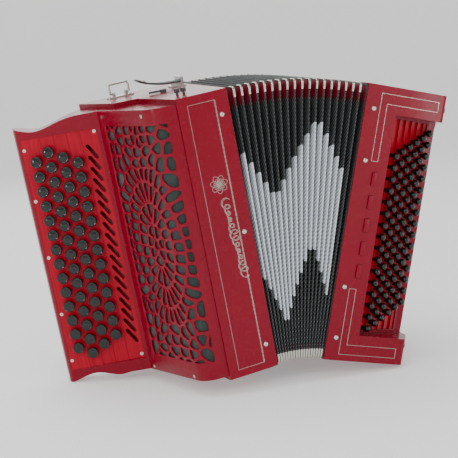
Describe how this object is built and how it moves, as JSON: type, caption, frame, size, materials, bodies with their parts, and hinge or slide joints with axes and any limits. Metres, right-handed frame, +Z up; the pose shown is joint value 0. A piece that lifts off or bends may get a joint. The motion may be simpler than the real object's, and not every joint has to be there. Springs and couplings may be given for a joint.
{
  "type": "chromatic button accordion",
  "caption": "Button accordion with its bellows fanned open: treble keyboard and sound grille, folding bellows with corner clips, bass button section with hand strap.",
  "frame": {"origin": "on the ground, under the middle of the instrument's box, with the bellows fanned open and both sections standing on their lower outer edges", "axes": "+X along the bellows from the treble section to the bass section, -Y towards the audience (grille side), +Z up"},
  "size_m": [0.5604, 0.2072, 0.3978],
  "materials": {
    "red_lacquer": "gloss",
    "red_wood": "satin",
    "black_button": "polished",
    "nickel": "polished",
    "leather_black": "satin",
    "cloth_green": "matte",
    "bellows_card": "matte",
    "spruce": "matte",
    "rubber_black": "matte",
    "steel_dark": "satin",
    "aluminium": "satin"
  },
  "bodies": {
    "treble": {"treble_case": "red_lacquer", "treble_frame": "red_lacquer", "treble_grille": "red_lacquer", "grille_cloth": "cloth_green", "keyboard_body": "red_lacquer", "finger_strips": "red_wood", "slot_strip": "red_wood", "treble_soundboard": "spruce", "treble_reed_blocks": "spruce", "treble_action": "aluminium", "treble_screws": "nickel", "treble_pins": "nickel", "bail_plate": "nickel", "strap_bracket": "nickel", "bellows_strap": "leather_black", "strap_lugs": "nickel"},
    "bass": {"bass_case": "red_lacquer", "bass_frame": "red_lacquer", "bass_button_board": "red_wood", "bass_soundboard": "spruce", "bass_reed_blocks": "spruce", "bass_action": "aluminium", "bass_pins": "nickel", "bass_feet": "rubber_black", "bass_strap": "leather_black"},
    "bellows_fold_01": {"bellows_fold_01": "bellows_card"},
    "bellows_fold_02": {"bellows_fold_02": "bellows_card"},
    "bellows_fold_03": {"bellows_fold_03": "bellows_card"},
    "bellows_fold_04": {"bellows_fold_04": "bellows_card"},
    "bellows_fold_05": {"bellows_fold_05": "bellows_card"},
    "bellows_fold_06": {"bellows_fold_06": "bellows_card"},
    "bellows_fold_07": {"bellows_fold_07": "bellows_card"},
    "bellows_fold_08": {"bellows_fold_08": "bellows_card"},
    "bellows_fold_09": {"bellows_fold_09": "bellows_card"},
    "bellows_fold_10": {"bellows_fold_10": "bellows_card"},
    "bellows_fold_11": {"bellows_fold_11": "bellows_card"},
    "bellows_fold_12": {"bellows_fold_12": "bellows_card"},
    "bellows_fold_13": {"bellows_fold_13": "bellows_card"},
    "bellows_fold_14": {"bellows_fold_14": "bellows_card"},
    "bellows_fold_15": {"bellows_fold_15": "bellows_card"},
    "bellows_fold_16": {"bellows_fold_16": "bellows_card"},
    "bellows_fold_17": {"bellows_fold_17": "bellows_card"},
    "bellows_fold_18": {"bellows_fold_18": "bellows_card"},
    "treble_row_1": {"treble_buttons_row_1": "black_button"},
    "treble_row_2": {"treble_buttons_row_2": "black_button"},
    "treble_row_3": {"treble_buttons_row_3": "black_button"},
    "treble_row_4": {"treble_buttons_row_4": "black_button"},
    "bass_row_1": {"bass_buttons_row_1": "black_button"},
    "bass_row_2": {"bass_buttons_row_2": "black_button"},
    "bass_row_3": {"bass_buttons_row_3": "black_button"},
    "bass_row_4": {"bass_buttons_row_4": "black_button"},
    "bass_row_5": {"bass_buttons_row_5": "black_button"},
    "bass_row_6": {"bass_buttons_row_6": "black_button"},
    "shoulder_bail": {"shoulder_bail": "nickel"},
    "tone_lever": {"tone_lever": "steel_dark"},
    "tone_knobs": {"tone_knobs": "steel_dark"},
    "registers": {"bass_registers": "red_lacquer"},
    "strap_wheel": {"strap_wheel": "nickel"},
    "air_button": {"air_button": "black_button"}
  },
  "joints": [
    {"name": "bellows_fan", "type": "hinge", "parent": "treble", "child": "bass", "pos_m": [0.03476, -0.0064, 0.03201], "axis": [0, 1, 0], "range_deg": [-21, 21]},
    {"name": "fold_01", "type": "hinge", "parent": "treble", "child": "bellows_fold_01", "pos_m": [0.00428, 0, 0.03123], "axis": [0, 1, 0], "range_deg": [-1.13, 1.13]},
    {"name": "fold_02", "type": "hinge", "parent": "bellows_fold_01", "child": "bellows_fold_02", "pos_m": [0.00765, 0, 0.03169], "axis": [0, 1, 0], "range_deg": [-1.13, 1.13]},
    {"name": "fold_03", "type": "hinge", "parent": "bellows_fold_02", "child": "bellows_fold_03", "pos_m": [0.01103, 0, 0.03208], "axis": [0, 1, 0], "range_deg": [-1.13, 1.13]},
    {"name": "fold_04", "type": "hinge", "parent": "bellows_fold_03", "child": "bellows_fold_04", "pos_m": [0.01441, 0, 0.03241], "axis": [0, 1, 0], "range_deg": [-1.13, 1.13]},
    {"name": "fold_05", "type": "hinge", "parent": "bellows_fold_04", "child": "bellows_fold_05", "pos_m": [0.0178, 0, 0.03267], "axis": [0, 1, 0], "range_deg": [-1.13, 1.13]},
    {"name": "fold_06", "type": "hinge", "parent": "bellows_fold_05", "child": "bellows_fold_06", "pos_m": [0.02119, 0, 0.03286], "axis": [0, 1, 0], "range_deg": [-1.13, 1.13]},
    {"name": "fold_07", "type": "hinge", "parent": "bellows_fold_06", "child": "bellows_fold_07", "pos_m": [0.02459, 0, 0.03299], "axis": [0, 1, 0], "range_deg": [-1.13, 1.13]},
    {"name": "fold_08", "type": "hinge", "parent": "bellows_fold_07", "child": "bellows_fold_08", "pos_m": [0.02799, 0, 0.03306], "axis": [0, 1, 0], "range_deg": [-1.13, 1.13]},
    {"name": "fold_09", "type": "hinge", "parent": "bellows_fold_08", "child": "bellows_fold_09", "pos_m": [0.03139, 0, 0.03306], "axis": [0, 1, 0], "range_deg": [-1.13, 1.13]},
    {"name": "fold_10", "type": "hinge", "parent": "bellows_fold_09", "child": "bellows_fold_10", "pos_m": [0.03479, 0, 0.03299], "axis": [0, 1, 0], "range_deg": [-1.13, 1.13]},
    {"name": "fold_11", "type": "hinge", "parent": "bellows_fold_10", "child": "bellows_fold_11", "pos_m": [0.03819, 0, 0.03286], "axis": [0, 1, 0], "range_deg": [-1.13, 1.13]},
    {"name": "fold_12", "type": "hinge", "parent": "bellows_fold_11", "child": "bellows_fold_12", "pos_m": [0.04158, 0, 0.03266], "axis": [0, 1, 0], "range_deg": [-1.13, 1.13]},
    {"name": "fold_13", "type": "hinge", "parent": "bellows_fold_12", "child": "bellows_fold_13", "pos_m": [0.04497, 0, 0.0324], "axis": [0, 1, 0], "range_deg": [-1.13, 1.13]},
    {"name": "fold_14", "type": "hinge", "parent": "bellows_fold_13", "child": "bellows_fold_14", "pos_m": [0.04836, 0, 0.03207], "axis": [0, 1, 0], "range_deg": [-1.13, 1.13]},
    {"name": "fold_15", "type": "hinge", "parent": "bellows_fold_14", "child": "bellows_fold_15", "pos_m": [0.05173, 0, 0.03168], "axis": [0, 1, 0], "range_deg": [-1.13, 1.13]},
    {"name": "fold_16", "type": "hinge", "parent": "bellows_fold_15", "child": "bellows_fold_16", "pos_m": [0.0551, 0, 0.03122], "axis": [0, 1, 0], "range_deg": [-1.13, 1.13]},
    {"name": "fold_17", "type": "hinge", "parent": "bellows_fold_16", "child": "bellows_fold_17", "pos_m": [0.05846, 0, 0.0307], "axis": [0, 1, 0], "range_deg": [-1.13, 1.13]},
    {"name": "fold_18", "type": "hinge", "parent": "bellows_fold_17", "child": "bellows_fold_18", "pos_m": [0.06181, 0, 0.03011], "axis": [0, 1, 0], "range_deg": [-1.13, 1.13]},
    {"name": "treble_row_1_press", "type": "slide", "parent": "treble", "child": "treble_row_1", "axis": [0.4059, 0.9118, 0.063], "range_m": [0, 0.0035], "stiffness_N_per_m": 900, "springref_m": -0.002},
    {"name": "treble_row_2_press", "type": "slide", "parent": "treble", "child": "treble_row_2", "axis": [0.4059, 0.9118, 0.063], "range_m": [0, 0.0035], "stiffness_N_per_m": 900, "springref_m": -0.002},
    {"name": "treble_row_3_press", "type": "slide", "parent": "treble", "child": "treble_row_3", "axis": [0.4059, 0.9118, 0.063], "range_m": [0, 0.0035], "stiffness_N_per_m": 900, "springref_m": -0.002},
    {"name": "treble_row_4_press", "type": "slide", "parent": "treble", "child": "treble_row_4", "axis": [0.4059, 0.9118, 0.063], "range_m": [0, 0.0035], "stiffness_N_per_m": 900, "springref_m": -0.002},
    {"name": "bass_row_1_press", "type": "slide", "parent": "bass", "child": "bass_row_1", "axis": [-0.4054, 0.91, 0.0874], "range_m": [0, 0.003], "stiffness_N_per_m": 900, "springref_m": -0.002},
    {"name": "bass_row_2_press", "type": "slide", "parent": "bass", "child": "bass_row_2", "axis": [-0.4054, 0.91, 0.0874], "range_m": [0, 0.003], "stiffness_N_per_m": 900, "springref_m": -0.002},
    {"name": "bass_row_3_press", "type": "slide", "parent": "bass", "child": "bass_row_3", "axis": [-0.4054, 0.91, 0.0874], "range_m": [0, 0.003], "stiffness_N_per_m": 900, "springref_m": -0.002},
    {"name": "bass_row_4_press", "type": "slide", "parent": "bass", "child": "bass_row_4", "axis": [-0.4054, 0.91, 0.0874], "range_m": [0, 0.003], "stiffness_N_per_m": 900, "springref_m": -0.002},
    {"name": "bass_row_5_press", "type": "slide", "parent": "bass", "child": "bass_row_5", "axis": [-0.4054, 0.91, 0.0874], "range_m": [0, 0.003], "stiffness_N_per_m": 900, "springref_m": -0.002},
    {"name": "bass_row_6_press", "type": "slide", "parent": "bass", "child": "bass_row_6", "axis": [-0.4054, 0.91, 0.0874], "range_m": [0, 0.003], "stiffness_N_per_m": 900, "springref_m": -0.002},
    {"name": "bail_swing", "type": "hinge", "parent": "treble", "child": "shoulder_bail", "pos_m": [-0.13642, 0.0656, 0.37875], "axis": [0.9882, 0, 0.1535], "range_deg": [-60, 60]},
    {"name": "tone_lever_turn", "type": "hinge", "parent": "treble", "child": "tone_lever", "pos_m": [-0.09841, -0.0004, 0.38162], "axis": [-0.1535, 0, 0.9882], "range_deg": [-25, 25]},
    {"name": "tone_knobs_press", "type": "slide", "parent": "treble", "child": "tone_knobs", "axis": [0.1535, 0, -0.9882], "range_m": [0, 0.003], "stiffness_N_per_m": 400, "springref_m": -0.002},
    {"name": "registers_press", "type": "slide", "parent": "bass", "child": "registers", "axis": [0, 1, 0], "range_m": [0, 0.0015], "stiffness_N_per_m": 900, "springref_m": -0.001},
    {"name": "strap_wheel_turn", "type": "hinge", "parent": "bass", "child": "strap_wheel", "pos_m": [0.2522, 0.0336, 0.35739], "axis": [0.2108, 0, 0.9775], "continuous": true},
    {"name": "air_button_press", "type": "slide", "parent": "bass", "child": "air_button", "axis": [-0.9775, 0, 0.2108], "range_m": [0, 0.004], "stiffness_N_per_m": 400, "springref_m": -0.002}
  ],
  "couplings": [
    {"joint": "fold_01", "follows": "bellows_fan", "ratio": 0.052632},
    {"joint": "fold_02", "follows": "bellows_fan", "ratio": 0.052632},
    {"joint": "fold_03", "follows": "bellows_fan", "ratio": 0.052632},
    {"joint": "fold_04", "follows": "bellows_fan", "ratio": 0.052632},
    {"joint": "fold_05", "follows": "bellows_fan", "ratio": 0.052632},
    {"joint": "fold_06", "follows": "bellows_fan", "ratio": 0.052632},
    {"joint": "fold_07", "follows": "bellows_fan", "ratio": 0.052632},
    {"joint": "fold_08", "follows": "bellows_fan", "ratio": 0.052632},
    {"joint": "fold_09", "follows": "bellows_fan", "ratio": 0.052632},
    {"joint": "fold_10", "follows": "bellows_fan", "ratio": 0.052632},
    {"joint": "fold_11", "follows": "bellows_fan", "ratio": 0.052632},
    {"joint": "fold_12", "follows": "bellows_fan", "ratio": 0.052632},
    {"joint": "fold_13", "follows": "bellows_fan", "ratio": 0.052632},
    {"joint": "fold_14", "follows": "bellows_fan", "ratio": 0.052632},
    {"joint": "fold_15", "follows": "bellows_fan", "ratio": 0.052632},
    {"joint": "fold_16", "follows": "bellows_fan", "ratio": 0.052632},
    {"joint": "fold_17", "follows": "bellows_fan", "ratio": 0.052632},
    {"joint": "fold_18", "follows": "bellows_fan", "ratio": 0.052632}
  ]
}
